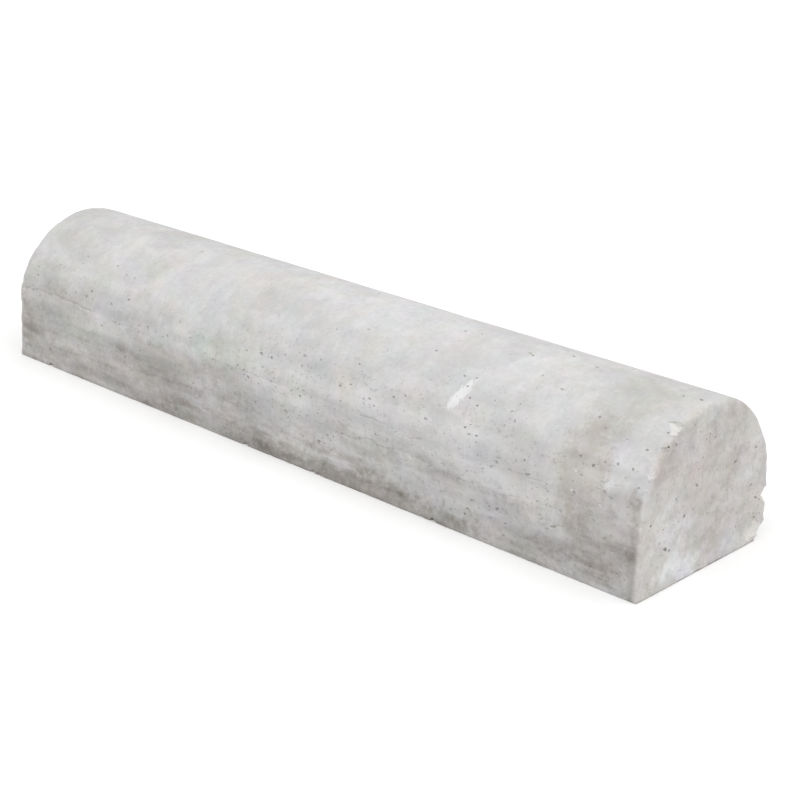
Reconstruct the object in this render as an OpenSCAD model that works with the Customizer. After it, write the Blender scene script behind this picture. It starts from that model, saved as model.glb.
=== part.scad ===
// Half-round concrete kerb stone, cast in one piece.
// X runs along the stone, Y across its bed and Z up. The origin is the middle of the bed.

/* [Stone] */
// Length along the bed, where the stone is longest
stone_length = 900; // [500:5:1200]
// Width across the bed, where the stone is widest
bed_width = 200; // [180:1:260]

/* [Section] */
// Height of the straight side walls, from the bed to the crease
wall_height = 80; // [60:1:120]
// Rise of the round crown above the crease
crown_rise = 80; // [50:1:82]

/* [Mould draft] */
// How far each side wall leans in from the bed to the crease
wall_lean = 3; // [1:0.5:6]
// How far each end leans in from the bed to the crest
end_lean = 3; // [1:0.5:6]

/* [Edges] */
// Width of the bevel round each end
end_bevel = 3; // [1:0.5:8]
// Width of the bevel along the long edges of the bed
bed_bevel = 2; // [1:0.5:6]

/* [Hidden] */
$fn = 180;

// The crown is one arc through both creases and the crest.
stone_height = wall_height + crown_rise;
crease_half_width = bed_width / 2 - wall_lean;
crown_radius = (pow(crease_half_width, 2) + pow(crown_rise, 2)) / (2 * crown_rise);
crown_axis_height = stone_height - crown_radius;

// Half the width that the walls would have if they ran on up to the crest.
crest_half_width = bed_width / 2 - wall_lean * stone_height / wall_height;

// Angles that the draft gives to the walls and the ends.
wall_tilt = atan(wall_lean / wall_height);
end_tilt = atan(end_lean / stone_height);

// Outline with straight sides that lean in towards the crest.
module drafted_outline(bed_half, crest_half) {
    polygon([
        [-bed_half, 0],
        [bed_half, 0],
        [crest_half, stone_height],
        [-crest_half, stone_height]
    ]);
}

// Section across the stone. The crown's circle trims the leaning walls, and they meet at the crease.
// Below the circle's axis a wider block leaves the walls whole.
module cross_section() {
    intersection() {
        drafted_outline(bed_width / 2, crest_half_width);
        union() {
            translate([0, crown_axis_height]) circle(r = crown_radius);
            translate([-bed_width, 0]) square([2 * bed_width, crown_axis_height]);
        }
    }
}

// The drafted block with sharp edges. The section runs on past both ends, and the side view cuts it off.
module sharp_block() {
    intersection() {
        rotate([90, 0, 90])
            linear_extrude(height = 2 * stone_length, center = true)
                cross_section();
        rotate([90, 0, 0])
            linear_extrude(height = 2 * bed_width, center = true)
                drafted_outline(stone_length / 2, stone_length / 2 - end_lean);
    }
}

// Profile that cuts a bevel of this width off an edge at the origin. It faces out of the stone at an
// angle from the x axis, and only the side that makes the bevel reaches into the stone.
module bevel_profile(width, facing) {
    rotate(facing) translate([-width / sqrt(2), -2 * width]) square(4 * width);
}

// Bevel round one end, in the end's own frame: its face is the plane x = 0, with +X outwards.
module end_bevel_cut() {
    // Round the crown.
    translate([0, 0, crown_axis_height])
        rotate([90, 0, 90])
            rotate_extrude(angle = 180)
                translate([crown_radius, 0]) bevel_profile(end_bevel, 45);
    // Up both walls, from below the bed to just above the crease.
    for (side = [0, 1])
        mirror([0, side, 0])
            translate([0, bed_width / 2, 0])
                rotate([wall_tilt, 0, 0])
                    translate([0, 0, -end_bevel])
                        linear_extrude(height = wall_height + 2 * end_bevel)
                            bevel_profile(end_bevel, 45);
    // Along the end of the bed.
    rotate([90, 0, 0])
        linear_extrude(height = 2 * bed_width, center = true)
            bevel_profile(end_bevel, -45);
}

// Bevels along the two long edges of the bed.
module bed_bevel_cuts() {
    for (side = [0, 1])
        mirror([0, side, 0])
            translate([0, bed_width / 2, 0])
                rotate([90, 0, 90])
                    linear_extrude(height = 2 * stone_length, center = true)
                        bevel_profile(bed_bevel, -45);
}

// One solid casting, grey as it comes out of the mould.
module kerb_stone() {
    color([0.77, 0.77, 0.76])
        difference() {
            sharp_block();
            bed_bevel_cuts();
            for (end = [0, 1])
                mirror([end, 0, 0])
                    translate([stone_length / 2, 0, 0])
                        rotate([0, -end_tilt, 0])
                            end_bevel_cut();
        }
}

kerb_stone();
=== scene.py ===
"""Half-round concrete kerb stone: the worn casting, its concrete and a plain studio."""

import math
import random

import bmesh
import bpy
from bpy.props import FloatProperty, FloatVectorProperty, IntProperty, PointerProperty
from mathutils import Matrix, Vector, geometry, noise
from mathutils.bvhtree import BVHTree


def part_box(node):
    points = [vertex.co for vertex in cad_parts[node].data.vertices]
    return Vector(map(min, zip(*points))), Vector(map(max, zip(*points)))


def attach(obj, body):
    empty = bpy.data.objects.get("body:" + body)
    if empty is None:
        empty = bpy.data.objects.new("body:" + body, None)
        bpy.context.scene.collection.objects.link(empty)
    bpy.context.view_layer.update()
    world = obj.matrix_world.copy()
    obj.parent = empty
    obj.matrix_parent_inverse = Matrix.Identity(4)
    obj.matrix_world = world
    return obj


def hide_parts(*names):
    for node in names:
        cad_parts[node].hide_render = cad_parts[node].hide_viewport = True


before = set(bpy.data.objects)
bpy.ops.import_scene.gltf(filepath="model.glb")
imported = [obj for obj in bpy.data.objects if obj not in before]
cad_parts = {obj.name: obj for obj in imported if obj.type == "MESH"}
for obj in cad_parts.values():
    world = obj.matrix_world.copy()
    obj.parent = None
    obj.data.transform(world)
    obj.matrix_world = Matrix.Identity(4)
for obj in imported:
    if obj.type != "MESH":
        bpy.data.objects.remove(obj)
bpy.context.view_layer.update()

bl_info = {
    "name": "Concrete Kerb Stone",
    "version": (1, 0, 0),
    "blender": (4, 5, 0),
    "location": "View3D > Sidebar > Kerb Stone",
    "description": "Casts a worn half-round concrete kerb stone and sets it in a plain studio",
    "category": "Object",
}

CAD_NODE = "kerb_stone"
BODY = "root"
LOW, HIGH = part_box(CAD_NODE)
MM = 0.001

# Order of the stone's material slots
SKIN, BED, BREAK, HOLE = range(4)


def seen(red, green, blue):
    """Linear colour of a tone given as it looks on a screen, 0 to 255."""
    def linear(level):
        share = level / 255
        return share / 12.92 if share <= 0.04045 else ((share + 0.055) / 1.055) ** 2.4
    return (linear(red), linear(green), linear(blue))


def length_property(name, description, default):
    return FloatProperty(
        name=name, description=description, default=default, min=0, unit="LENGTH", precision=4)


def angle_property(name, description, degrees):
    return FloatProperty(
        name=name, description=description, default=math.radians(degrees), subtype="ANGLE")


def count_property(name, description, default):
    return IntProperty(name=name, description=description, default=default, min=0)


def colour_property(name, description, default):
    return FloatVectorProperty(
        name=name, description=description, default=default, subtype="COLOR", size=3, min=0, max=1)


class KerbStoneSettings(bpy.types.PropertyGroup):
    """Sizes, wear and colours of the stone"""

    length: length_property("Length", "Length along the bed", HIGH.x - LOW.x)
    width: length_property("Width", "Width across the bed", HIGH.y - LOW.y)
    height: length_property("Height", "Height from the bed to the crest", HIGH.z - LOW.z)
    wall_height: length_property("Wall height", "Height of the straight walls, up to the crease", 0.080)
    wall_lean: length_property("Wall lean", "How far each wall leans in up to the crease", 0.003)
    end_lean: length_property("End lean", "How far each end leans in up to the crest", 0.003)
    arris_radius: length_property("Arris radius", "Usual rounding of the worn end edges", 0.0036)
    foot_radius: length_property("Foot radius", "Rounding of the long edges of the bed", 0.0012)
    mesh_step: length_property("Mesh step", "Distance between neighbouring points of the skin", 0.0030)
    crown_relief: length_property("Crown relief", "Depth of the crown's and the ends' hollows", 0.0006)
    wall_relief: length_property("Wall relief", "Depth of the layered hollows in the walls", 0.0011)
    crease_depth: length_property("Crease depth", "Depth of the mould's line along the crease", 0.0009)
    arris_wear: length_property("Arris wear", "Depth of the crumbled spots along the end edges", 0.0026)
    side_holes: count_property("Side blowholes", "Blowholes scattered over the sides", 640)
    end_holes: count_property("End blowholes", "Blowholes scattered over each end", 34)
    smallest_hole: length_property("Smallest blowhole", "Width of the smallest blowholes", 0.0009)
    largest_hole: length_property("Largest blowhole", "Width of the largest scattered blowholes", 0.0027)
    nibbles: count_property("Nibbles", "Small chips scattered along the edges", 60)
    seed: count_property("Seed", "Start of the scatter of blowholes and nibbles", 7)
    pale: colour_property("Pale cement", "Lightest tone of the cement skin", seen(226, 225, 225))
    deep: colour_property("Deep cement", "Darkest tone of the clean cement skin", seen(209, 208, 207))
    end_pale: colour_property("Pale end", "Lightest tone of the end faces", seen(229, 226, 223))
    end_deep: colour_property("Deep end", "Darkest tone of the end faces", seen(200, 195, 191))
    soil: colour_property("Soil", "Brown-grey soil on the walls", seen(141, 133, 124))
    broken: colour_property("Fresh break", "Pale fresh concrete in the chips", seen(246, 242, 237))
    # Blowhole colour: dusty inside, darkened further by painted shade in the holes
    hole_dust_and_shade: colour_property("Blowhole", "Dusty inside of the blowholes", seen(206, 202, 198))


class KerbStudioSettings(bpy.types.PropertyGroup):
    """Floor, light and camera of the studio"""

    floor_size: length_property("Floor size", "Side of the square floor", 40.0)
    floor: colour_property("Floor", "Pale floor", seen(214, 214, 214))
    sky: FloatProperty(name="Sky", description="Strength of the even light from all round", default=0.62)
    sun: FloatProperty(name="Sun", description="Strength of the soft lamp overhead", default=1.25)
    sun_spread: angle_property("Sun spread", "Width of the soft lamp", 100)
    sun_tilt: angle_property("Sun tilt", "Lean of the soft lamp from overhead", 28)
    sun_turn: angle_property("Sun turn", "Direction of that lean, as a camera azimuth", 54)
    azimuth: angle_property("Azimuth", "Camera's turn round the stone", 43.42)
    elevation: angle_property("Elevation", "Camera's height angle", 20.84)
    roll: angle_property("Roll", "Camera's roll about its line of sight", 0.887)
    distance: length_property("Distance", "Distance from the camera to its aim", 1.8909)
    aim: FloatVectorProperty(
        name="Aim", description="Point that the camera looks at", default=(0.0294, 0.0462, 0.0345), size=3,
        subtype="TRANSLATION")
    lens: FloatProperty(name="Lens", description="Focal length in millimetres", default=80.43)


# Shape of the casting

def spaced(start, stop, step):
    """Evenly spaced values from start to stop, both included, about one step apart."""
    count = max(1, round(abs(stop - start) / step))
    return [start + (stop - start) * k / count for k in range(count + 1)]


def smooth(value, low, high):
    """0 at low, 1 at high, with soft ends; low may lie above high."""
    share = min(1, max(0, (value - low) / (high - low)))
    return share * share * (3 - 2 * share)


def crown_arc(stone):
    """Radius of the crown, height of its axis, and its angle from the crest to each crease."""
    half = stone.width / 2 - stone.wall_lean
    rise = stone.height - stone.wall_height
    radius = (half ** 2 + rise ** 2) / (2 * rise)
    axis = stone.height - radius
    return radius, axis, math.atan2(half, stone.wall_height - axis)


def wall_half_width(stone, z):
    return stone.width / 2 - stone.wall_lean * z / stone.wall_height


def end_half_length(stone, z):
    return stone.length / 2 - stone.end_lean * z / stone.height


# Width of the crease, step of the bed's mesh, and turns of the points round the foot's edge
CREASE_BAND = 0.0012
BED_STEP = 0.008
FOOT_TURNS = (30, 60)


def half_outline(stone):
    """Half of the section, from the middle of the bed round to the crest, as (y, z) points."""
    radius, axis, reach = crown_arc(stone)
    foot = stone.foot_radius
    bed = stone.width / 2 - foot
    points = [(y, 0.0) for y in spaced(0, bed, BED_STEP)]
    for turn in map(math.radians, FOOT_TURNS):
        points.append((bed + foot * math.sin(turn), foot - foot * math.cos(turn)))
    for z in spaced(foot, stone.wall_height - CREASE_BAND, stone.mesh_step):
        points.append((wall_half_width(stone, z), z))
    points.append((wall_half_width(stone, stone.wall_height), stone.wall_height))
    for angle in spaced(reach - CREASE_BAND / radius, 0, stone.mesh_step / radius):
        points.append((radius * math.sin(angle), axis + radius * math.cos(angle)))
    return points


def full_outline(stone):
    """The whole section as a closed loop of (y, z) points, with the outward normal at each."""
    half = half_outline(stone)
    loop = half + [(-y, z) for y, z in reversed(half[1:-1])]
    normals = []
    for k, _ in enumerate(loop):
        before, after = loop[k - 1], loop[(k + 1) % len(loop)]
        normals.append(Vector((after[1] - before[1], before[0] - after[0])).normalized())
    return loop, normals


# Rounded end edges: turns of their rings, waves along them to the metre, and the band above the bed
# in which they sharpen. The cap's centre is a share of the stone's height.
ARRIS_TURNS = (0, 22.5, 45, 67.5, 90)
ARRIS_WAVES = 30
FOOT_BAND = 0.012
CAP_CENTRE = 0.45
# Rows of the end's triangles stand this share of a step apart, and this share clear of its rim
ROW_SHARE = 0.87
RIM_SHARE = 0.8


def local_arris(stone, side, y, z):
    """Rounding of the end edge at one place: most on the crown, least at the bed, and uneven."""
    usual = stone.arris_radius * (0.7 + 0.75 * smooth(z, stone.wall_height, 1.4 * stone.wall_height))
    usual *= 0.3 + 0.7 * smooth(z, 0, FOOT_BAND)
    wave = noise.fractal(Vector((side * 3, y * ARRIS_WAVES, z * ARRIS_WAVES)), 1.0, 2.0, 3)
    return usual * (1 + 0.45 * max(-0.7, min(0.9, wave)))


def arris_ring(stone, side, turn, loop, normals):
    """Ring of the rounded end edge: a turn of 0 lies on the sides and 90 in the end face."""
    turn = math.radians(turn)
    middle = Vector((0, stone.height * CAP_CENTRE))
    ring = []
    for (y, z), out in zip(loop, normals):
        radius = local_arris(stone, side, y, z)
        spoke = Vector((y, z)) - middle
        at_y, at_z = middle + spoke * (1 - radius * (1 - math.cos(turn)) / spoke.dot(out))
        from_end = radius * (1 - math.sin(turn))
        ring.append(Vector((side * (end_half_length(stone, at_z) - from_end), at_y, at_z)))
    return ring


def skin_rings(stone, loop, normals):
    """Rings of points from one end face to the other."""
    straight = stone.length / 2 - 3 * stone.arris_radius
    rings = [arris_ring(stone, -1, turn, loop, normals) for turn in reversed(ARRIS_TURNS)]
    for x in spaced(-straight, straight, stone.mesh_step):
        share = 2 * x / stone.length
        rings.append([Vector((share * end_half_length(stone, z), y, z)) for y, z in loop])
    return rings + [arris_ring(stone, 1, turn, loop, normals) for turn in ARRIS_TURNS]


def fill_end(stone, skin, rim, side):
    """Even mesh of triangles over one end face, inside the ring of points that rims it."""
    step = stone.mesh_step
    outline = [Vector((vert.co.y, vert.co.z)) for vert in rim]
    middle = Vector((0, stone.height * CAP_CENTRE))
    inner = [middle.lerp(point, 1 - RIM_SHARE * step / (point - middle).length) for point in outline]
    points = list(outline)
    for row, z in enumerate(spaced(0, stone.height, step * ROW_SHARE)):
        for y in spaced(-stone.width / 2, stone.width / 2, step):
            point = Vector((y + step / 2 * (row % 2), z))
            if inside(point, inner):
                points.append(point)
    rim_face = [list(range(len(outline)))]
    places, _, faces, origins, _, _ = geometry.delaunay_2d_cdt(points, [], rim_face, 1, 1e-7)
    made = []
    for place, origin in zip(places, origins):
        on_rim = [k for k in origin if k < len(rim)]
        made.append(rim[on_rim[0]] if on_rim else skin.verts.new(
            (side * end_half_length(stone, place.y), place.x, place.y)))
    for face in faces:
        skin.faces.new([made[k] for k in face]).material_index = SKIN


def inside(point, outline):
    """True where a point lies inside a closed outline."""
    within = False
    for here, there in zip(outline, outline[1:] + outline[:1]):
        if (here.y > point.y) != (there.y > point.y):
            cross = here.x + (point.y - here.y) * (there.x - here.x) / (there.y - here.y)
            within ^= point.x < cross
    return within


def sharp_skin(stone):
    """The closed skin of the stone with rounded edges, before any relief."""
    loop, normals = full_outline(stone)
    skin = bmesh.new()
    made = [[skin.verts.new(point) for point in ring] for ring in skin_rings(stone, loop, normals)]
    count = len(loop)
    for here, there in zip(made, made[1:]):
        for k in range(count):
            after = (k + 1) % count
            face = skin.faces.new((here[k], here[after], there[after], there[k]))
            face.material_index = BED if max(loop[k][1], loop[after][1]) <= 0 else SKIN
    fill_end(stone, skin, made[0], -1)
    fill_end(stone, skin, made[-1], 1)
    bmesh.ops.recalc_face_normals(skin, faces=skin.faces)
    return skin


def crease_strength(x, side):
    """How open the mould's joint line is along the stone: it comes and goes."""
    far = 0.3 * smooth(x, -0.25, -0.36)
    middle = smooth(x, -0.14, -0.06) * smooth(x, 0.16, 0.08)
    patchy = max(0, noise.noise(Vector((x * 22, side * 5, 3.1))))
    return min(1, max(far, 0.8 * middle, 0.15) * (0.55 + 0.9 * patchy))


# Pale scrape on the crown: middle, reach, lean along the stone, depth, paleness, and how far
# blowholes keep off
SCRAPE = (0.2205, -0.0760, 0.1240)
SCRAPE_REACH = (0.0048, 0.0300, 0.0100)
SCRAPE_LEAN = 0.52
SCRAPE_DEPTH = 0.0005
SCRAPE_PALENESS = 0.85
SCRAPE_CLEARANCE = 0.014


# Waves to the metre of the relief's hollows, sand, layers and crumbled edges
CLOUD_WAVES = 17
GRAIN_WAVES = 95
LAYER_WAVES = (16, 24, 95)
CRUMBLE_WAVES = 60
# Distances from the end at which the crumbling starts and is full
CRUMBLE_BAND = (0.006, 0.001)


def stretched(point, scale):
    return Vector(a * b for a, b in zip(point, scale))


def relief_depth(stone, point):
    """How deep the real surface lies under the true shape at a point."""
    wall = smooth(point.z, stone.wall_height + 0.018, stone.wall_height - 0.010)
    cloud = noise.fractal(point * CLOUD_WAVES, 0.9, 2.1, 4)
    grain = noise.fractal(point * GRAIN_WAVES, 1.0, 2.0, 2)
    layers = noise.fractal(stretched(point, LAYER_WAVES), 0.8, 2.0, 4)
    crown_depth = stone.crown_relief * (0.5 + 0.38 * cloud + 0.20 * grain)
    wall_depth = stone.wall_relief * (0.5 + 0.42 * layers + 0.22 * grain)
    depth = crown_depth + (wall_depth - crown_depth) * wall
    from_end = end_half_length(stone, point.z) - abs(point.x)
    crumble = max(0, noise.fractal(point * CRUMBLE_WAVES, 1.0, 2.0, 3) - 0.12)
    depth += stone.arris_wear * smooth(from_end, *CRUMBLE_BAND) * crumble
    from_scrape = (point - Vector(SCRAPE)).length
    depth += SCRAPE_DEPTH * smooth(from_scrape, SCRAPE_REACH[2], 0.3 * SCRAPE_REACH[2])
    from_crease = abs(point.z - stone.wall_height)
    if from_crease < CREASE_BAND / 2:
        depth += stone.crease_depth * crease_strength(point.x, math.copysign(1, point.y))
    return max(0, depth)


def roughen(stone, skin):
    """Sinks every point of the skin by its relief; the bed stays flat on the ground."""
    skin.normal_update()
    sunk = [(vert, vert.normal * relief_depth(stone, vert.co)) for vert in skin.verts if vert.co.z > 0]
    for vert, depth in sunk:
        vert.co -= depth


# Chips and blowholes, which are cut out of the skin

# Chips that show in the outline or as pale spots: place and half sizes in metres
CHIPS = {
    "notch in the back edge": ((0.4525, 0.1010, 0.0435), (0.0130, 0.0135, 0.0085)),
    "broken back foot corner": ((0.4550, 0.1050, 0.0000), (0.0170, 0.0175, 0.0200)),
    "nick above the broken corner": ((0.4500, 0.1010, 0.0270), (0.0050, 0.0045, 0.0050)),
    "pale spall on the crown's edge": ((0.4465, -0.0510, 0.1520), (0.0120, 0.0115, 0.0102)),
    "small spall below it": ((0.4475, -0.0840, 0.1175), (0.0060, 0.0060, 0.0065)),
    "pale spall by the broken corner": ((0.4515, 0.0770, 0.0130), (0.0060, 0.0140, 0.0105)),
    "front foot corner": ((0.4530, -0.1025, 0.0010), (0.0050, 0.0050, 0.0060)),
    "hidden end, crown edge": ((-0.4500, 0.0420, 0.1510), (0.0070, 0.0110, 0.0060)),
    "hidden end, back wall edge": ((-0.4510, 0.1000, 0.0300), (0.0080, 0.0070, 0.0150)),
    "back foot, left of the middle": ((-0.1500, 0.1020, -0.0010), (0.0160, 0.0055, 0.0060)),
}

# Blowholes that stand out on the front: place along the stone, girth up from the foot and width,
# in millimetres
FRONT_HOLES = (
    (-404, 87, 3), (-389, 87, 3), (-347, 99, 3), (-327, 99, 3), (-270, 82, 3), (-228, 81, 3),
    (-181, 88, 2.5), (-416, 21, 3), (-392, 20, 4), (-320, 48, 3), (-292, 48, 3), (-252, 47, 3),
    (-227, 60, 3), (-152, 21, 3), (-75, 79, 4), (-50, 76, 3), (-38, 52, 3.5), (-70, 53, 2.5),
    (7, 54, 4.5), (13, 56, 3), (27, 76, 3.5), (32, 83, 2.5), (43, 118, 2.5), (-5, 111, 2.5),
    (143, 113, 2.5), (112, 96, 2.5), (119, 98, 2.5), (83, 86, 2.5), (91, 105, 2.5), (88, 53, 4),
    (56, 36, 3.5), (161, 112, 2.5), (247, 98, 2.5), (256, 99, 2.5), (205, 55, 4), (168, 31, 3),
    (290, 38, 3.5), (259, 37, 3), (254, 27, 3), (234, 20, 3), (204, 16, 3), (299, 15, 3),
    (381, 47, 3), (355, 42, 4), (411, 49, 4), (374, 81, 3), (397, 115, 3), (387, 109, 3.5),
    (426, 117, 3), (430, 137, 2.5), (440, 93, 3), (435, 88, 3), (442, 86, 2), (283, 131, 2.5),
    (233, 130, 2.5), (300, 27, 2.5), (315, 93, 3), (437, 212, 3), (224, 140, 2.5), (228, 151, 2.5),
    (-67, 84, 2.5), (-62, 79, 2.5), (-57, 82, 2), (-56, 77, 2.5), (61, 41, 2.5), (68, 46, 3),
    (76, 47, 2.5), (82, 50, 2), (72, 42, 2), (64, 36, 2), (1, 58, 2.5), (11, 49, 2.5), (-137, 46, 3),
    (-132, 42, 2.5), (33, 35, 2.5), (198, 57, 2.5), (43, 79, 2.5), (127, 93, 2.5), (148, 107, 2.5),
)

# Blowholes that stand out on the near end: across, up and width, in millimetres
END_HOLES = (
    (-52, 134, 3), (-17, 136, 2), (-1, 130, 2.5), (8, 124, 2), (-10, 110, 2), (-16, 101, 2.5),
    (-17, 86, 4), (14, 92, 2.5), (28, 90, 2), (41, 91, 3.5), (50, 110, 2), (-47, 82, 3),
    (-34, 62, 3.5), (-60, 39, 4.5), (-54, 36, 3), (31, 67, 2), (39, 65, 2), (50, 25, 2.5),
    (79, 25, 2.5), (84, 107, 2.5),
)

# Pale flakes that have come off the sides: place along the stone, girth, length and width,
# in millimetres
FLAKES = (
    (-334, 83, 6, 2), (-185, 115, 3, 2), (-131, 34, 4, 2), (-118, 21, 3, 2), (196, 70, 3, 1.5),
    (371, 100, 4, 2.5), (389, 110, 5, 1.5), (372, 82, 5, 2), (403, 78, 4, 2), (80, 30, 3, 2),
    (-250, 350, 5, 2), (210, 340, 4, 2),
)

# Open stretches of the layers' joints: girths on the way along the stone, in millimetres, and half width
JOINTS = (
    (((-446, 83), (-430, 85), (-415, 87), (-385, 87), (-350, 86), (-330, 86), (-312, 84)), 2.3),
    (((-275, 82), (-255, 82), (-228, 81)), 1.3),
    (((-110, 80), (-85, 79), (-60, 79), (-30, 79)), 1.3),
    (((112, 79), (131, 79), (150, 79), (164, 76), (173, 75), (187, 75), (197, 76)), 2.0),
    (((-445, 51), (-425, 53)), 1.4),
    (((-345, 57), (-315, 59), (-290, 58)), 1.2),
    (((300, 79), (335, 80), (360, 78)), 1.2),
    (((80, 50), (104, 53), (128, 56), (149, 55), (174, 59), (210, 56)), 1.4),
    (((229, 53), (262, 54), (291, 53), (317, 55)), 1.3),
    (((-215, 36), (-190, 40), (-160, 38), (-135, 41)), 1.2),
    (((-420, 350), (-300, 352), (-180, 351)), 1.4),
    (((40, 353), (160, 350), (330, 352)), 1.3),
    (((-250, 378), (-90, 376), (30, 379)), 1.2),
)


def paint(verts, slot):
    """Gives all faces round some points one material slot."""
    for face in {face for vert in verts for face in vert.link_faces}:
        face.material_index = slot


def add_rock(cutter, centre, sizes, slot, detail, jag, key):
    """One closed, uneven lump in the cutter."""
    made = bmesh.ops.create_icosphere(cutter, subdivisions=detail, radius=1)["verts"]
    offset = Vector((key * 7.3, key * 3.1, key * 1.7))
    for vert in made:
        swell = 1 + jag * noise.fractal(vert.co * 1.7 + offset, 1.0, 2.0, 3)
        vert.co = Vector(centre) + stretched(vert.co, sizes) * swell
    paint(made, slot)


# Widths from which a pit gets a finer mesh, and how uneven it is
PIT_DETAIL_WIDTHS = (0.0015, 0.0028)
PIT_JAG = 0.70


def add_pit(cutter, place, out, along, width, stretch, depth, slot, key):
    """One small pit in the cutter, sunk into the surface at a place."""
    along = (along - out * along.dot(out)).normalized()
    turn = Matrix((along, out.cross(along), out)).transposed()
    detail = 1 + sum(width >= limit for limit in PIT_DETAIL_WIDTHS)
    made = bmesh.ops.create_icosphere(cutter, subdivisions=detail, radius=1)["verts"]
    offset = Vector((key * 1.37, key * 0.61, 5.0))
    for vert in made:
        swell = 1 + PIT_JAG * noise.fractal(vert.co * 1.5 + offset, 1.0, 2.0, 2)
        shape = Vector((vert.co.x * width * stretch / 2, vert.co.y * width / 2, vert.co.z * depth))
        vert.co = place + turn @ (shape * swell)
    paint(made, slot)


# Open joints: step along them, sides of their round, how far they wander, and holes to each place and
# millimetre of half width
JOINT_STEP = 0.004
JOINT_SIDES = 6
JOINT_WANDER = 0.0022
JOINT_HOLES = 0.36
# Distance over the true shape from which a ray looks for the skin
SEAT_REACH = 0.01


def seat(tree, point, out):
    """Place of the roughened skin under a point of the true shape; None where there is none."""
    return tree.ray_cast(point + out * SEAT_REACH, -out)[0]


def joint_places(stone, tree, stops, key):
    """Wandering row of places on the skin, each with its way out, along a row of stops."""
    places = []
    for (x0, girth0), (x1, girth1) in zip(stops, stops[1:]):
        for x in spaced(x0 * MM, x1 * MM, JOINT_STEP)[:-1]:
            wander = noise.fractal(Vector((x * 45, key * 2.3, 0.5)), 0.8, 2.2, 3)
            girth = girth0 * MM + (girth1 - girth0) * (x - x0 * MM) / (x1 - x0) + JOINT_WANDER * wander
            point, out = girth_point(stone, girth)
            places.append((seat(tree, point + Vector((x, 0, 0)), out), out))
    return places


def add_joint(cutter, places, half_width, key):
    """Shallow, uneven dent in the cutter along a row of places."""
    rings = []
    for place, out in places:
        radius = half_width * (1 + 0.5 * noise.noise(Vector((place.x * 150, key * 1.9, 4.5))))
        lift = half_width * (0.58 + 0.65 * noise.noise(Vector((place.x * 90, key * 3.7, 8.5))))
        up = out.cross(Vector((1, 0, 0)))
        ring = []
        for turn in spaced(0, 2 * math.pi, 2 * math.pi / JOINT_SIDES)[:-1]:
            lifted = place + out * (lift + radius * math.cos(turn))
            ring.append(cutter.verts.new(lifted + up * radius * math.sin(turn)))
        rings.append(ring)
    cutter.faces.new(rings[0]).material_index = SKIN
    cutter.faces.new(list(reversed(rings[-1]))).material_index = SKIN
    for here, there in zip(rings, rings[1:]):
        for k in range(JOINT_SIDES):
            after = (k + 1) % JOINT_SIDES
            cutter.faces.new((here[k], there[k], there[after], here[after])).material_index = SKIN


# Rocks that cut the chips and the nibbles: fineness of their mesh and how uneven they are
CHIP_DETAIL, CHIP_JAG = 3, 0.45
NIBBLE_DETAIL, NIBBLE_JAG = 2, 0.35
# Nibbles: share on the end edges, smallest size, spread of sizes, and the first key of their shapes
EDGE_NIBBLES = 0.75
SMALLEST_NIBBLE = 0.0016
NIBBLE_SPREAD = 0.0030
NIBBLE_KEY = 40
# Where nibbles sit: margin over the bed on the end edges, reach along the foot, lift off the bed, and how
# far they stand out of the ends, the outline and the foot
NIBBLE_MARGIN = 0.004
NIBBLE_REACH = 0.42
NIBBLE_LIFT = 0.0004
END_OUTSET, OUTLINE_OUTSET, FOOT_OUTSET = 0.35, 1.004, 0.30
NIBBLE_STRETCH = (0.8, 1.5)


def scatter_nibbles(stone, rng, cutter):
    """Small chips along the end edges and the foot."""
    loop, _ = full_outline(stone)
    for key in range(stone.nibbles):
        side = rng.choice((-1, 1))
        size = SMALLEST_NIBBLE + NIBBLE_SPREAD * rng.random() ** 2
        if rng.random() < EDGE_NIBBLES:
            y, z = rng.choice([point for point in loop if point[1] > NIBBLE_MARGIN])
            x = side * (end_half_length(stone, z) + size * END_OUTSET)
            centre = Vector((x, y * OUTLINE_OUTSET, z + NIBBLE_LIFT))
        else:
            x = rng.uniform(-NIBBLE_REACH, NIBBLE_REACH)
            centre = Vector((x, side * (stone.width / 2 + size * FOOT_OUTSET), NIBBLE_LIFT))
        sizes = [size * rng.uniform(*NIBBLE_STRETCH) for _ in range(3)]
        add_rock(cutter, centre, sizes, SKIN, NIBBLE_DETAIL, NIBBLE_JAG, NIBBLE_KEY + key)


def girth_point(stone, girth):
    """Point and outward normal of the section at a girth measured up from the front foot."""
    radius, axis, reach = crown_arc(stone)
    wall = math.hypot(stone.wall_height, stone.wall_lean)
    total = 2 * wall + 2 * reach * radius
    back = girth > total / 2
    girth = min(girth, total - girth)
    if girth < wall:
        z = stone.wall_height * girth / wall
        y, out = wall_half_width(stone, z), Vector((0, 1, stone.wall_lean / stone.wall_height))
    else:
        angle = reach - (girth - wall) / radius
        y, z = radius * math.sin(angle), axis + radius * math.cos(angle)
        out = Vector((0, math.sin(angle), math.cos(angle)))
    facing = 1 if back else -1
    return Vector((0, facing * y, z)), Vector((0, facing * out.y, out.z)).normalized()


def hole_share(x, girth_up):
    """How likely a blowhole is at a place: most on the walls and low on the crown, few at the crest."""
    height = 0.15 + 0.85 * smooth(girth_up, 0.180, 0.110)
    return height * (0.60 + 0.40 * smooth(x, -0.25, 0.25))


# Width of a chosen blowhole's mouth as a share of the width in its table
MOUTH_SHARE = 0.80


def chosen_holes(stone):
    """The blowholes that stand out, as (outside point, way out, width)."""
    holes = []
    for x, girth, width in FRONT_HOLES:
        point, out = girth_point(stone, girth * MM)
        holes.append((point + Vector((x * MM, 0, 0)), out, MOUTH_SHARE * width * MM))
    for y, z, width in END_HOLES:
        point = Vector((end_half_length(stone, z * MM), y * MM, z * MM))
        holes.append((point, Vector((1, 0, 0)), MOUTH_SHARE * width * MM))
    return holes


# Scattered blowholes: how far apart they keep, as a share of their widths, and how much small ones prevail
HOLE_SPACING = 1.2
SMALL_HOLES = 1.6
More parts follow.
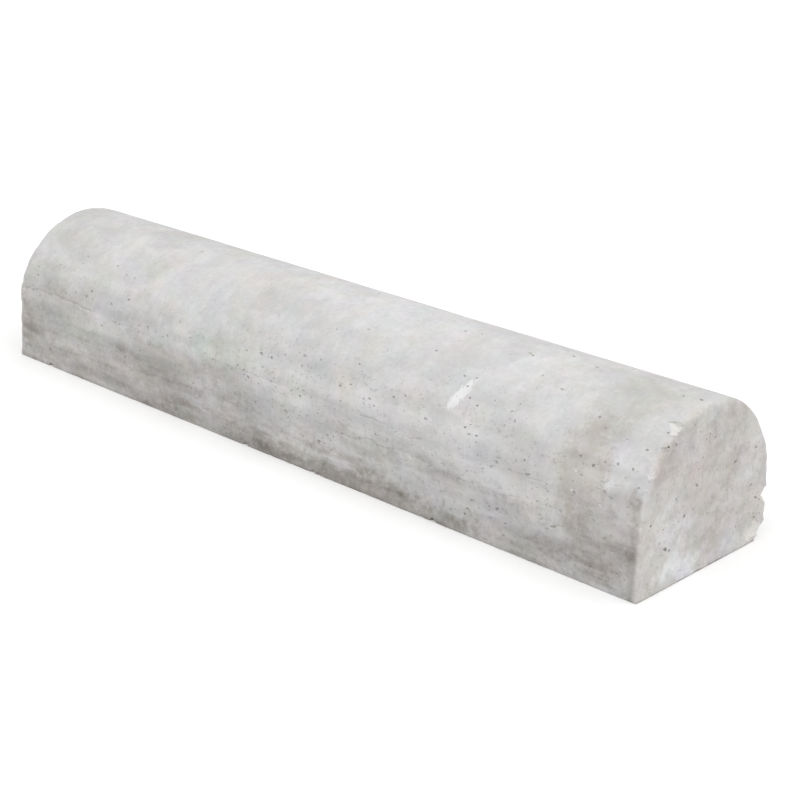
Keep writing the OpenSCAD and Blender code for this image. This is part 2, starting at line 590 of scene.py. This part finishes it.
# Places that take them: reach along the stone, margin at the foot, and the end's reach across and up
SIDE_REACH = 0.442
FOOT_MARGIN = 0.004
END_REACH = 0.092
END_HEIGHTS = (0.006, 0.152)
END_AXIS, END_ROUND, END_SQUARE = 0.0612, 0.0925, 0.07


def all_holes(stone, rng, tree):
    """The chosen blowholes, those along the joints and the scattered ones, which keep clear of the rest."""
    holes = chosen_holes(stone)
    radius, _, reach = crown_arc(stone)
    total = 2 * math.hypot(stone.wall_height, stone.wall_lean) + 2 * reach * radius
    spread = stone.largest_hole / stone.smallest_hole

    def keep(point, out):
        width = stone.smallest_hole * spread ** (rng.random() ** SMALL_HOLES)
        clear = (point - Vector(SCRAPE)).length > SCRAPE_CLEARANCE
        for other, _, size in holes:
            clear = clear and (point - other).length > HOLE_SPACING * (width + size)
        if clear:
            holes.append((point, out, width))

    for key, (stops, half_width) in enumerate(JOINTS):
        for place, out in joint_places(stone, tree, stops, key):
            if rng.random() < JOINT_HOLES * half_width:
                keep(place, out)
    goal = len(holes) + stone.side_holes
    while len(holes) < goal:
        x = rng.uniform(-SIDE_REACH, SIDE_REACH)
        girth = rng.uniform(FOOT_MARGIN, total - FOOT_MARGIN)
        if rng.random() < hole_share(x, min(girth, total - girth)):
            point, out = girth_point(stone, girth)
            keep(point + Vector((x, 0, 0)), out)
    for side in (-1, 1):
        goal = len(holes) + stone.end_holes
        while len(holes) < goal:
            y, z = rng.uniform(-END_REACH, END_REACH), rng.uniform(*END_HEIGHTS)
            if y * y + (z - END_AXIS) ** 2 < END_ROUND ** 2 or z < END_SQUARE:
                keep(Vector((side * end_half_length(stone, z), y, z)), Vector((side, 0, 0)))
    return holes


# Blowholes: turn off their level run on the sides and on the ends, stretch, and depth as a share of width
SIDE_TURN, END_TURN = 0.6, 0.8
LEAST_STRETCH, MORE_STRETCH, ROUND_HOLES = 1.05, 1.2, 1.5
HOLE_DEPTHS = (0.28, 0.50)


def blowhole_cutter(stone, rng, tree):
    """All blowholes as one cutter, each seated on the roughened skin."""
    cutter = bmesh.new()
    for key, (point, out, width) in enumerate(all_holes(stone, rng, tree)):
        place = seat(tree, point, out)
        if place is None:
            continue
        along = Vector((1, rng.uniform(-SIDE_TURN, SIDE_TURN), rng.uniform(-SIDE_TURN, SIDE_TURN)))
        if abs(out.x) > 0.5:
            along = Vector((0, 1, rng.uniform(-END_TURN, END_TURN)))
        stretch = LEAST_STRETCH + MORE_STRETCH * rng.random() ** ROUND_HOLES
        depth = width * rng.uniform(*HOLE_DEPTHS)
        add_pit(cutter, place, out, along, width, stretch, depth, HOLE, key)
    return cutter


# Depth of a flake as a share of its width, and the first key of the flakes' shapes
FLAKE_DEPTH = 0.3
FLAKE_KEY = 300


def flake_cutter(stone, rng, tree):
    """All flakes as one cutter: wide and shallow."""
    cutter = bmesh.new()
    for key, (x, girth, length, width) in enumerate(FLAKES):
        point, out = girth_point(stone, girth * MM)
        place = seat(tree, point + Vector((x * MM, 0, 0)), out)
        along = Vector((1, 0, rng.uniform(-1, 0.2)))
        depth = FLAKE_DEPTH * width * MM
        add_pit(cutter, place, out, along, width * MM, length / width, depth, BREAK, FLAKE_KEY + key)
    return cutter


def joint_cutter(stone, tree):
    """All open joints as one cutter."""
    cutter = bmesh.new()
    for key, (stops, half_width) in enumerate(JOINTS):
        add_joint(cutter, joint_places(stone, tree, stops, key), half_width * MM, key)
    bmesh.ops.recalc_face_normals(cutter, faces=cutter.faces)
    return cutter


def carve(thing, cutter, label):
    """Cuts a closed cutter out of an object and leaves a plain mesh behind."""
    mesh = bpy.data.meshes.new(label)
    cutter.to_mesh(mesh)
    cutter.free()
    for material in thing.data.materials:
        mesh.materials.append(material)
    tool = bpy.data.objects.new(label, mesh)
    bpy.context.scene.collection.objects.link(tool)
    cut = thing.modifiers.new(label, "BOOLEAN")
    cut.operation = "DIFFERENCE"
    cut.solver = "MANIFOLD"
    cut.object = tool
    carved = bpy.data.meshes.new_from_object(thing.evaluated_get(bpy.context.evaluated_depsgraph_get()))
    if len(carved.polygons) <= len(thing.data.polygons) // 2:
        raise RuntimeError(f"{label} could not be cut out of {thing.name}")
    thing.modifiers.remove(cut)
    old, thing.data = thing.data, carved
    bpy.data.meshes.remove(old)
    bpy.data.objects.remove(tool)
    bpy.data.meshes.remove(mesh)


SHARP_ANGLE = math.radians(38)


def shade(thing):
    """Smooth skin with crisp rims round the chips and blowholes."""
    edit = bmesh.new()
    edit.from_mesh(thing.data)
    for face in edit.faces:
        face.smooth = True
    for edge in edit.edges:
        edge.smooth = edge.calc_face_angle(0) < SHARP_ANGLE
    edit.to_mesh(thing.data)
    edit.free()


# Concrete

class Wiring:
    """Adds nodes to a tree. Calls take sockets or plain values, and most give back what comes out."""

    def __init__(self, tree):
        self.tree = tree

    def put(self, socket, value):
        if isinstance(value, bpy.types.NodeSocket):
            self.tree.links.new(value, socket)
        elif hasattr(value, "__len__") and len(value) == 3 and socket.type == "RGBA":
            socket.default_value = (*value, 1)
        else:
            socket.default_value = value

    def add(self, kind, values=(), **options):
        node = self.tree.nodes.new(kind)
        for name, value in options.items():
            setattr(node, name, value)
        for key, value in dict(values).items():
            self.put(node.inputs[key], value)
        return node

    def math(self, operation, first, second=0.0, third=0.0, clamp=False):
        values = {0: first, 1: second, 2: third}
        return self.add("ShaderNodeMath", values, operation=operation, use_clamp=clamp).outputs[0]

    def vector(self, operation, first, second=(0, 0, 0)):
        node = self.add("ShaderNodeVectorMath", {0: first, 1: second}, operation=operation)
        return node.outputs["Value" if operation == "LENGTH" else "Vector"]

    def noise(self, vector, scale, detail=3.0, roughness=0.6):
        """Noise of one scale, or of three that stretch it along the axes."""
        if isinstance(scale, tuple):
            vector, scale = self.vector("MULTIPLY", vector, scale), 1.0
        values = {"Vector": vector, "Scale": scale, "Detail": detail, "Roughness": roughness}
        return self.add("ShaderNodeTexNoise", values).outputs[0]

    def ramp(self, value, low, high, start=0.0, stop=1.0):
        values = {0: value, 1: low, 2: high, 3: start, 4: stop}
        return self.add("ShaderNodeMapRange", values, interpolation_type="SMOOTHSTEP").outputs[0]

    def mix(self, share, first, second, blend="MIX"):
        values = {0: share, 6: first, 7: second}
        return self.add("ShaderNodeMix", values, data_type="RGBA", blend_type=blend).outputs[2]

    def place(self, tree, values):
        node = self.add("ShaderNodeGroup", node_tree=tree)
        for key, value in values.items():
            self.put(node.inputs[key], value)
        return node.outputs


def empty_wiring(owner):
    """Clears the node tree of a material or a world, and gives its wiring."""
    owner.use_nodes = True
    owner.node_tree.nodes.clear()
    return Wiring(owner.node_tree)


def new_group(name, inputs, outputs):
    """Empty shader group with named sockets: its wiring, what comes in and what goes out."""
    tree = bpy.data.node_groups.new(name, "ShaderNodeTree")
    for in_out, sockets in (("INPUT", inputs), ("OUTPUT", outputs)):
        for label, kind in sockets.items():
            tree.interface.new_socket(label, in_out=in_out, socket_type="NodeSocket" + kind)
    wiring = Wiring(tree)
    return wiring, wiring.add("NodeGroupInput").outputs, wiring.add("NodeGroupOutput").inputs


# Clouds of the cement, from drifts as wide as a hand to flecks: noise scale and share
CEMENT_CLOUDS = ((7.0, 0.27), (32.0, 0.25), (85.0, 0.22), (260.0, 0.18))
# Tints between which the cement's warmth drifts
COOL_CAST = (0.988, 0.995, 1.007)
WARM_CAST = (1.003, 0.995, 0.978)


def cement_tone_group():
    """Cloudy cement with faint drips, and a trace of pink and green."""
    w, given, out = new_group(
        "Cement tone", {"Vector": "Vector", "Pale": "Color", "Deep": "Color"}, {"Color": "Color"})
    place = given["Vector"]
    level = 0.0
    for scale, share in CEMENT_CLOUDS:
        level = w.math("MULTIPLY_ADD", w.noise(place, scale), share, level)
    drips = w.noise(place, (330.0, 60.0, 60.0), 2.0)
    level = w.math("MULTIPLY_ADD", drips, 0.08, level)
    colour = w.mix(w.ramp(level, 0.39, 0.61), given["Deep"], given["Pale"])
    hue = w.add("ShaderNodeTexNoise", {"Vector": place, "Scale": 42.0, "Detail": 3.0}).outputs["Color"]
    colour = w.mix(0.17, colour, hue, "SOFT_LIGHT")
    warmth = w.ramp(w.noise(place, 20.0), 0.33, 0.67)
    cast = w.mix(warmth, COOL_CAST, WARM_CAST)
    w.put(out["Color"], w.mix(1.0, colour, cast, "MULTIPLY"))
    return w.tree


def stain_group():
    """Ragged patch round a centre: 1 inside its reach and 0 outside."""
    w, given, out = new_group(
        "Stain patch",
        {"Vector": "Vector", "Rag": "Float", "Centre": "Vector", "Reach": "Vector", "Strength": "Float"},
        {"Mask": "Float"})
    apart = w.vector("DIVIDE", w.vector("SUBTRACT", given["Vector"], given["Centre"]), given["Reach"])
    far = w.math("MULTIPLY_ADD", given["Rag"], 1.7, w.vector("LENGTH", apart))
    w.put(out["Mask"], w.math("MULTIPLY", w.ramp(far, 1.55, 0.75), given["Strength"]))
    return w.tree


def layer_group():
    """Level streaks left by the layers in which the concrete was placed."""
    w, given, out = new_group("Placing layers", {"Vector": "Vector"}, {"Mask": "Float"})
    broad = w.noise(given["Vector"], (7.0, 9.0, 62.0))
    thin = w.noise(given["Vector"], (22.0, 30.0, 260.0))
    both = w.math("MULTIPLY_ADD", thin, 0.35, w.math("MULTIPLY", broad, 0.65))
    w.put(out["Mask"], w.ramp(both, 0.36, 0.64))
    return w.tree


def sand_group():
    """Sandy skin: a height for the relief, and masks of short dark and pale flecks."""
    w, given, out = new_group(
        "Sand grain", {"Vector": "Vector"}, {"Height": "Float", "Dark": "Float", "Light": "Float"})
    place = given["Vector"]
    coarse = w.noise(place, 260.0)
    fine = w.noise(place, 900.0, 2.0)
    w.put(out["Height"], w.math("MULTIPLY_ADD", fine, 0.35, w.math("MULTIPLY", coarse, 0.65)))
    flecks = w.noise(place, (190.0, 270.0, 300.0))
    w.put(out["Dark"], w.ramp(flecks, 0.58, 0.70))
    w.put(out["Light"], w.ramp(flecks, 0.40, 0.30))
    return w.tree


def concrete_groups():
    return {
        "tone": cement_tone_group(),
        "stain": stain_group(),
        "layers": layer_group(),
        "sand": sand_group(),
    }


def new_material(name):
    """Material with an empty tree: its wiring, its place on the stone, and its shader."""
    material = bpy.data.materials.new(name)
    wiring = empty_wiring(material)
    shader = wiring.add("ShaderNodeBsdfPrincipled")
    wiring.put(wiring.add("ShaderNodeOutputMaterial").inputs["Surface"], shader.outputs["BSDF"])
    place = wiring.add("ShaderNodeTexCoord").outputs["Object"]
    return material, wiring, place, shader


# Sand in the skin, the share of its pale grains, the scraped cement, and the faint sheen of all concrete
DARK_SAND = seen(140, 136, 131)
PALE_SAND = seen(232, 231, 229)
PALE_SAND_SHARE = 0.6
SCRAPED = seen(248, 248, 249)
SHEEN = 0.25


def cement(w, groups, place, pale, deep):
    """Colour of cloudy cement between two tones."""
    return w.place(groups["tone"], {"Vector": place, "Pale": pale, "Deep": deep})["Color"]


def finish_surface(w, groups, place, shader, colour, grit, strength, distance):
    """Adds the sandy flecks and relief, and feeds the shader."""
    sand = w.place(groups["sand"], {"Vector": place})
    colour = w.mix(w.math("MULTIPLY", sand["Dark"], grit), colour, DARK_SAND)
    pale_grit = w.math("MULTIPLY", grit, PALE_SAND_SHARE)
    colour = w.mix(w.math("MULTIPLY", sand["Light"], pale_grit), colour, PALE_SAND)
    w.put(shader.inputs["Base Color"], colour)
    w.put(shader.inputs["Roughness"], w.ramp(sand["Height"], 0.3, 0.7, 0.82, 0.96))
    shader.inputs["Specular IOR Level"].default_value = SHEEN
    bump = w.add("ShaderNodeBump", {"Strength": strength, "Distance": distance, "Height": sand["Height"]})
    w.put(shader.inputs["Normal"], bump.outputs["Normal"])


def metres(sizes):
    """Sizes given in millimetres."""
    return tuple(size * MM for size in sizes)


def patch_mask(w, groups, place, rag, centre, reach, strength=1.0):
    """Mask of one ragged patch, in metres."""
    values = {"Vector": place, "Rag": rag, "Centre": centre, "Reach": reach, "Strength": strength}
    return w.place(groups["stain"], values)["Mask"]


def add_stains(w, groups, place, rag, colour, stains):
    """Lays a row of stains over a colour, one after the other, all mottled alike."""
    mottle = w.ramp(w.noise(place, 60.0, 4.0, 0.55), 0.32, 0.62, 0.70, 1.08)
    for centre, reach, tint, strength in stains:
        mottled = w.math("MULTIPLY", mottle, strength)
        mask = patch_mask(w, groups, place, rag, metres(centre), metres(reach), mottled)
        colour = w.mix(mask, colour, tint, "MULTIPLY")
    return colour


# Tints that a stain multiplies into the cement below it
TAN = (0.86, 0.83, 0.78)
OLIVE = (0.89, 0.89, 0.83)
MOSS = (0.91, 0.94, 0.90)
SMUDGE = (0.86, 0.855, 0.85)
ROSE = (0.92, 0.895, 0.88)
BROWN = (0.77, 0.74, 0.715)
# Grime; at the foot of the walls this tint also paints the shade at the base
GRIME_AND_SHADE = (0.65, 0.625, 0.60)
BLEACH = (1.07, 1.07, 1.075)
RINSED = (1.09, 1.11, 1.135)

# Stains on the crown and the walls: centre and reach in millimetres, tint and strength. The front ones
# follow the real stone.
SIDE_STAINS = (
    ((376, -90, 106), (24, 40, 40), TAN, 0.90),
    ((370, -88, 106), (22, 34, 26), TAN, 0.25),
    ((386, -30, 155), (26, 32, 30), OLIVE, 0.65),
    ((-380, -98, 80), (70, 40, 14), ROSE, 0.65),
    ((-330, -99, 62), (70, 40, 14), MOSS, 0.60),
    ((-437, -100, 46), (16, 40, 22), BROWN, 0.70),
    ((-185, -100, 55), (65, 40, 18), BROWN, 0.65),
    ((-230, -100, 18), (170, 40, 18), ROSE, 0.70),
    # Dark bands along the foot, here and below: grime and painted shade at the base
    ((105, -100, 3), (125, 40, 14), GRIME_AND_SHADE, 0.90),
    ((105, -100, 5), (55, 40, 12), GRIME_AND_SHADE, 0.40),
    ((30, -100, 14), (40, 40, 8), GRIME_AND_SHADE, 0.35),
    ((290, -100, 4), (70, 40, 8), SMUDGE, 0.65),
    ((-300, -100, 14), (50, 40, 22), SMUDGE, 0.45),
    ((-210, -97, 88), (60, 30, 7), SMUDGE, 0.75),
    ((200, -98, 88), (80, 30, 7), SMUDGE, 0.30),
    ((-60, -100, 2), (90, 40, 7), GRIME_AND_SHADE, 0.25),
    ((100, -100, 50), (55, 40, 8), SMUDGE, 0.70),
    ((215, -100, 54), (30, 40, 6), SMUDGE, 0.80),
    ((300, -100, 44), (40, 40, 10), SMUDGE, 0.55),
    ((414, -100, 44), (42, 40, 26), BROWN, 0.55),
    ((432, -98, 87), (22, 30, 12), BROWN, 0.62),
    ((445, -99, 44), (7, 30, 46), BROWN, 0.62),
    ((440, -96, 90), (7, 12, 7), GRIME_AND_SHADE, 0.50),
    ((100, 0, 160), (160, 45, 30), BLEACH, 0.90),
    ((300, -45, 150), (50, 35, 30), BLEACH, 0.70),
    ((-410, -50, 140), (75, 75, 50), SMUDGE, 0.45),
    ((-400, -100, 54), (55, 40, 16), SMUDGE, 0.65),
    ((0, -98, 72), (50, 40, 8), BLEACH, 0.90),
    ((300, -100, 18), (55, 40, 9), SMUDGE, 0.80),
    ((-400, -90, 106), (36, 30, 12), OLIVE, 0.40),
    ((-386, -94, 98), (14, 20, 7), SMUDGE, 0.60),
    ((-395, -53, 145), (22, 20, 14), OLIVE, 0.45),
    ((-272, -4, 160), (28, 26, 18), SMUDGE, 0.55),
    ((-243, -56, 142), (15, 12, 10), OLIVE, 0.70),
    ((-65, -52, 145), (20, 16, 12), OLIVE, 0.35),
    ((-100, -96, 90), (50, 30, 13), MOSS, 0.95),
    ((300, 100, 10), (130, 40, 20), GRIME_AND_SHADE, 0.70),
    ((-120, 100, 30), (160, 40, 26), BROWN, 0.75),
    ((-400, 100, 50), (60, 40, 40), BROWN, 0.50),
    ((120, 86, 110), (50, 30, 30), TAN, 0.60),
    ((-250, 60, 140), (40, 30, 22), OLIVE, 0.55),
)

# Stains on the ends, in the same way
END_STAINS = (
    ((449, -52, 46), (20, 30, 34), RINSED, 1.0),
    ((449, -40, 16), (20, 34, 12), RINSED, 1.0),
    ((449, -44, 46), (20, 20, 14), RINSED, 0.4),
    ((449, 5, 9), (20, 60, 14), RINSED, 1.0),
    ((449, 2, 7), (20, 28, 10), RINSED, 0.5),
    ((449, 38, 25), (20, 16, 12), RINSED, 0.7),
    ((449, 82, 84), (20, 24, 22), RINSED, 0.5),
    ((449, -4, 150), (20, 18, 10), RINSED, 0.8),
    ((-449, 50, 105), (20, 34, 34), RINSED, 0.8),
    ((449, 0, 88), (20, 36, 36), ROSE, 0.75),
    ((449, 16, 55), (20, 16, 11), SMUDGE, 0.50),
    ((449, 12, 45), (20, 14, 10), SMUDGE, 0.35),
    ((449, -16, 68), (20, 26, 12), SMUDGE, 0.55),
    ((449, -44, 132), (20, 34, 18), SMUDGE, 0.50),
    ((449, -10, 30), (20, 10, 8), SMUDGE, 0.40),
    ((449, 30, 130), (20, 40, 16), SMUDGE, 0.35),
    ((-449, 30, 20), (20, 60, 22), BROWN, 0.45),
    ((-449, -40, 90), (20, 30, 26), TAN, 0.45),
)

# Places on the walls that rain has kept free of soil: centre and reach in millimetres
WASHED_WALL = (
    ((5, -98, 64), (42, 40, 20)),
    ((240, -100, 34), (80, 40, 12)),
    ((-285, -98, 68), (70, 40, 8)),
    ((290, -98, 63), (45, 40, 7)),
    ((110, 100, 50), (60, 40, 20)),
)


def ragged_noise(w, place):
    """Uneven outline shared by all stains of a material, about -0.5 to 0.5."""
    wide = w.noise(place, 26.0, 4.0, 0.62)
    tight = w.noise(place, 130.0, 4.0, 0.65)
    both = w.math("MULTIPLY_ADD", tight, 0.60, wide)
    return w.math("SUBTRACT", both, 0.80)


def washed_share(w, groups, place, rag):
    """1 in the washed places on the walls and 0 elsewhere."""
    mask = 0.0
    for centre, reach in WASHED_WALL:
        here = patch_mask(w, groups, place, rag, metres(centre), metres(reach))
        mask = w.math("MAXIMUM", here, mask)
    return mask


def end_share(w, stone, rag, axes):
    """1 on the end faces, 0 on the sides, and ragged over the worn edge between them."""
    lean = w.math("MULTIPLY_ADD", axes["Z"], -stone.end_lean / stone.height, stone.length / 2)
    from_end = w.math("SUBTRACT", lean, w.math("ABSOLUTE", axes["X"]))
    return w.ramp(w.math("MULTIPLY_ADD", rag, 0.008, from_end), 0.0065, 0.0005)


def soil_and_foot_shade_share(w, groups, stone, place, rag, axes):
    """Soil on the walls, thin above and thick at the foot, in layers and broken up by mottling; at the foot
    it is partly painted shade.
    """
    layers = w.place(groups["layers"], {"Vector": place})["Mask"]
    height = w.math("MULTIPLY_ADD", rag, 0.026, axes["Z"])
    wall = w.ramp(height, stone.wall_height + 0.010, 0.036, 0.0, 0.27)
    # Thicker at the foot: partly soil, partly painted shade where the wall meets the ground
    foot = w.ramp(height, 0.026, 0.0, 0.0, 0.10)
    clumps = w.noise(place, (25.0, 45.0, 60.0), 5.0, 0.62)
    mottle = w.ramp(clumps, 0.30, 0.70, 0.45, 1.55)
    flecks = w.ramp(w.noise(place, 210.0), 0.33, 0.67, 0.75, 1.25)
    streaks = w.math("MULTIPLY_ADD", layers, -0.95, 1.47)
    broken = w.math("MULTIPLY", w.math("MULTIPLY", mottle, flecks), streaks)
    soil = w.math("MULTIPLY", w.math("ADD", wall, foot), broken)
    kept = w.math("MULTIPLY_ADD", washed_share(w, groups, place, rag), -0.65, 1.0)
    return w.math("MULTIPLY", soil, kept, clamp=True)


def scrape_share(w, groups, place, axes):
    """Pale scrape that leans along the stone, with frayed edges."""
    along = w.math("ADD", axes["X"], SCRAPE_LEAN * SCRAPE[2])
    upright = w.math("MULTIPLY_ADD", axes["Z"], -SCRAPE_LEAN, along)
    leaning = w.add("ShaderNodeCombineXYZ", {0: upright, 1: axes["Y"], 2: axes["Z"]}).outputs[0]
    frayed = w.noise(place, (420.0, 130.0, 130.0))
    rag = w.math("MULTIPLY_ADD", frayed, 1.8, -0.95)
    return patch_mask(w, groups, leaning, rag, SCRAPE, SCRAPE_REACH, SCRAPE_PALENESS)


def weathered_material(stone, groups):
    """Crown, walls and ends as they left the mould, with soil, stains, painted shade at the foot, washed
    places and a scrape.
    """
    material, w, place, shader = new_material("Weathered concrete")
    axes = w.add("ShaderNodeSeparateXYZ", {0: place}).outputs
    rag = ragged_noise(w, place)
    side = cement(w, groups, place, stone.pale, stone.deep)
    end = cement(w, groups, place, stone.end_pale, stone.end_deep)
    end = add_stains(w, groups, place, rag, end, END_STAINS)
    side = w.mix(soil_and_foot_shade_share(w, groups, stone, place, rag, axes), side, stone.soil)
    drifts = w.ramp(w.noise(place, (9.0, 24.0, 44.0), 2.5, 0.5), 0.3, 0.7, 0.89, 1.11)
    side = w.mix(w.ramp(axes["Z"], 0.152, 0.105), side, drifts, "MULTIPLY")
    side = add_stains(w, groups, place, rag, side, SIDE_STAINS)
    side = w.mix(scrape_share(w, groups, place, axes), side, SCRAPED)
    on_end = end_share(w, stone, rag, axes)
    colour = w.mix(on_end, side, end)
    low = w.ramp(axes["Z"], 0.150, 0.090, 0.12, 0.38)
    near = w.ramp(axes["X"], -0.35, 0.15, 0.7, 1.0)
    grit = w.math("MULTIPLY", low, w.math("MULTIPLY_ADD", on_end, -0.25, near))
    finish_surface(w, groups, place, shader, colour, grit, strength=0.60, distance=0.0007)
    return material


def bed_material(stone, groups):
    """Bed, struck off by hand while wet: rough and soiled."""
    material, w, place, shader = new_material("Struck bed concrete")
    colour = cement(w, groups, place, stone.end_deep, stone.soil)
    finish_surface(w, groups, place, shader, colour, grit=0.5, strength=0.9, distance=0.0020)
    return material


def break_material(stone, groups):
    """Fresh break: pale paste with grains of sand and small stones."""
    material, w, place, shader = new_material("Broken concrete")
    colour = cement(w, groups, place, stone.broken, stone.pale)
    cells = w.add("ShaderNodeTexVoronoi", {"Vector": place, "Scale": 240.0}).outputs["Color"]
    colour = w.mix(0.10, colour, cells, "SOFT_LIGHT")
    finish_surface(w, groups, place, shader, colour, grit=0.20, strength=0.9, distance=0.0015)
    return material


# Share of the blowholes' tone that their darkest dust and painted shade keep
HOLE_SHADE = 0.72


def hole_material(stone, groups):
    """Inside of the blowholes, grey with dust and darkened further by painted shade."""
    material, w, place, shader = new_material("Blowhole concrete")
    darker = [share * HOLE_SHADE for share in stone.hole_dust_and_shade]
    colour = cement(w, groups, place, stone.hole_dust_and_shade, darker)
    finish_surface(w, groups, place, shader, colour, grit=0.25, strength=0.6, distance=0.0008)
    return material


class KERB_OT_cast_stone(bpy.types.Operator):
    """Cast the worn stone in place of its plain solid"""

    bl_idname = "kerb.cast_stone"
    bl_label = "Cast Stone"

    def execute(self, context):
        stone = context.scene.kerb_stone
        rng = random.Random(stone.seed)
        groups = concrete_groups()
        skin = sharp_skin(stone)
        roughen(stone, skin)
        tree = BVHTree.FromBMesh(skin)
        mesh = bpy.data.meshes.new("cast_stone")
        skin.to_mesh(mesh)
        skin.free()
        for make in (weathered_material, bed_material, break_material, hole_material):
            mesh.materials.append(make(stone, groups))
        thing = bpy.data.objects.new("cast_stone", mesh)
        context.scene.collection.objects.link(thing)
        carve(thing, joint_cutter(stone, tree), "joints")
        carve(thing, blowhole_cutter(stone, rng, tree), "blowholes")
        carve(thing, flake_cutter(stone, rng, tree), "flakes")
        nibbles = bmesh.new()
        scatter_nibbles(stone, rng, nibbles)
        carve(thing, nibbles, "nibbles")
        for key, (centre, sizes) in enumerate(CHIPS.values()):
            chip = bmesh.new()
            add_rock(chip, centre, sizes, BREAK, CHIP_DETAIL, CHIP_JAG, key)
            carve(thing, chip, "chip")
        shade(thing)
        thing.data.name = "cast_stone"
        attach(thing, BODY)
        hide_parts(CAD_NODE)
        return {"FINISHED"}


# Studio

# Glow that lifts the lit floor to white, and the hair's breadth that it lies under the stone
FLOOR_GLOW = 0.12
FLOOR_DROP = 0.0002


def floor_material(studio):
    """Pale floor that the camera sees as white, apart from the stone's shadow."""
    material = bpy.data.materials.new("Studio floor")
    w = empty_wiring(material)
    matt = w.add("ShaderNodeBsdfDiffuse", {"Color": studio.floor})
    white = w.add("ShaderNodeBsdfDiffuse", {"Color": (1, 1, 1)})
    glow = w.add("ShaderNodeEmission", {"Color": (1, 1, 1), "Strength": FLOOR_GLOW})
    lit = w.add("ShaderNodeAddShader", {0: white.outputs[0], 1: glow.outputs[0]})
    seen_by = w.add("ShaderNodeMixShader", {0: shown_rays(w), 1: matt.outputs[0], 2: lit.outputs[0]})
    w.put(w.add("ShaderNodeOutputMaterial").inputs["Surface"], seen_by.outputs[0])
    return material


def shown_rays(w):
    """1 for rays that show the background: from the camera, in a gloss or through glass."""
    path = w.add("ShaderNodeLightPath").outputs
    shown = w.math("MAXIMUM", path["Is Camera Ray"], path["Is Glossy Ray"])
    return w.math("MAXIMUM", shown, path["Is Transmission Ray"])


def light_world(studio):
    world = bpy.data.worlds.new("Studio sky")
    w = empty_wiring(world)
    strength = w.add("ShaderNodeMix", {0: shown_rays(w), 2: studio.sky, 3: 1.0}).outputs[0]
    sky = w.add("ShaderNodeBackground", {"Color": (1, 1, 1), "Strength": strength})
    w.put(w.add("ShaderNodeOutputWorld").inputs["Surface"], sky.outputs[0])
    return world


def look_from(azimuth, elevation, roll=0.0):
    """Turn of something that looks at the stone from there: azimuth 0 looks along +Y."""
    turn = Matrix.Rotation(azimuth, 4, "Z") @ Matrix.Rotation(math.pi / 2 - elevation, 4, "X")
    return turn @ Matrix.Rotation(roll, 4, "Z")


class KERB_OT_set_studio(bpy.types.Operator):
    """Set the floor, the light and the camera"""

    bl_idname = "kerb.set_studio"
    bl_label = "Set Studio"

    def execute(self, context):
        studio = context.scene.kerb_studio
        scene = context.scene
        scene.view_settings.view_transform = "Standard"
        scene.world = light_world(studio)

        half = studio.floor_size / 2
        corners = [(-half, -half, 0), (half, -half, 0), (half, half, 0), (-half, half, 0)]
        mesh = bpy.data.meshes.new("studio_floor")
        mesh.from_pydata(corners, [], [(0, 1, 2, 3)])
        mesh.materials.append(floor_material(studio))
        floor = bpy.data.objects.new("studio_floor", mesh)
        floor.location.z = LOW.z - FLOOR_DROP
        scene.collection.objects.link(floor)

        lamp = bpy.data.lights.new("soft_lamp", "SUN")
        lamp.energy = studio.sun
        lamp.angle = studio.sun_spread
        sun = bpy.data.objects.new("soft_lamp", lamp)
        sun.matrix_world = look_from(studio.sun_turn, math.pi / 2 - studio.sun_tilt)
        scene.collection.objects.link(sun)

        optics = bpy.data.cameras.new("photo_camera")
        optics.lens = studio.lens
        camera = bpy.data.objects.new("photo_camera", optics)
        turn = look_from(studio.azimuth, studio.elevation, studio.roll)
        stand = Vector(studio.aim) + turn.to_3x3() @ Vector((0, 0, studio.distance))
        camera.matrix_world = Matrix.Translation(stand) @ turn
        scene.collection.objects.link(camera)
        scene.camera = camera
        return {"FINISHED"}


class KERB_PT_panel(bpy.types.Panel):
    """Lists the stone's and the studio's settings"""

    bl_idname = "KERB_PT_panel"
    bl_label = "Kerb Stone"
    bl_space_type = "VIEW_3D"
    bl_region_type = "UI"
    bl_category = "Kerb Stone"

    def draw(self, context):
        for name, operator in (("kerb_stone", KERB_OT_cast_stone), ("kerb_studio", KERB_OT_set_studio)):
            box = self.layout.box()
            settings = getattr(context.scene, name)
            for label in settings.__annotations__:
                box.prop(settings, label)
            box.operator(operator.bl_idname)


CLASSES = (KerbStoneSettings, KerbStudioSettings, KERB_OT_cast_stone, KERB_OT_set_studio, KERB_PT_panel)


def register():
    for each in CLASSES:
        bpy.utils.register_class(each)
    bpy.types.Scene.kerb_stone = PointerProperty(type=KerbStoneSettings)
    bpy.types.Scene.kerb_studio = PointerProperty(type=KerbStudioSettings)


def unregister():
    del bpy.types.Scene.kerb_studio
    del bpy.types.Scene.kerb_stone
    for each in reversed(CLASSES):
        bpy.utils.unregister_class(each)


def main():
    register()
    bpy.ops.kerb.cast_stone()
    bpy.ops.kerb.set_studio()


if __name__ == "__main__":
    main()
